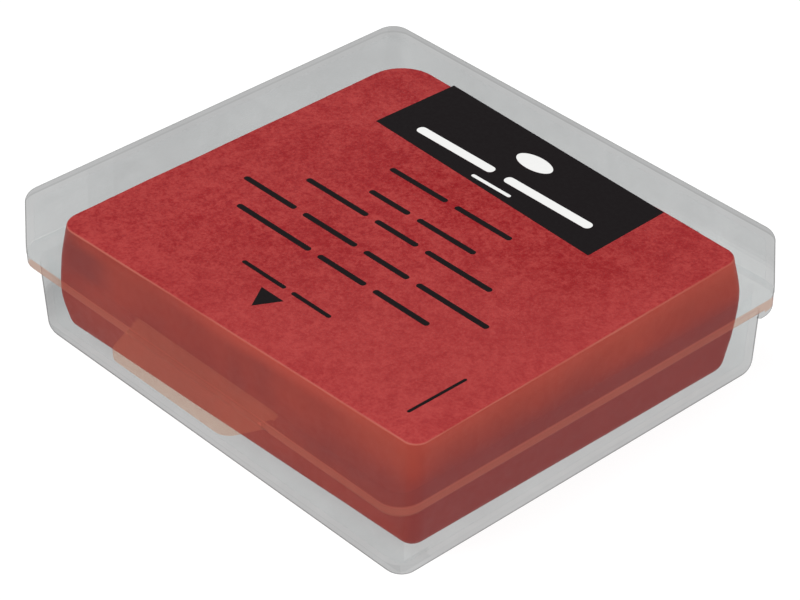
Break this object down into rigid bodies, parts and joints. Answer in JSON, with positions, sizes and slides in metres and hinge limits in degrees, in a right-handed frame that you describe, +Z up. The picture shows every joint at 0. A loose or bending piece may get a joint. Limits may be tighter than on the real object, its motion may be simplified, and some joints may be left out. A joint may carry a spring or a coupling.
{
  "type": "kneaded eraser in a hinged clear box",
  "caption": "Small flat clear plastic box with a hinged lid, a flange and a thumb tab, holding a soft rectangular block of red kneaded eraser.",
  "frame": {"origin": "middle of the box's flat underside", "axes": "+Z up through the lid, -Y towards the thumb tab, +Y towards the hinge, +X along the hinge"},
  "size_m": [0.0458, 0.0452, 0.0139],
  "materials": {
    "box_plastic": "satin",
    "lid_plastic": "satin",
    "kneaded_eraser": "matte"
  },
  "bodies": {
    "base": {"base": "box_plastic", "eraser": "kneaded_eraser"},
    "lid": {"lid": "lid_plastic"}
  },
  "joints": [
    {"name": "lid_hinge", "type": "hinge", "parent": "base", "child": "lid", "pos_m": [0, 0.02125, 0.00847], "axis": [-1, 0, 0], "range_deg": [0, 180]}
  ]
}
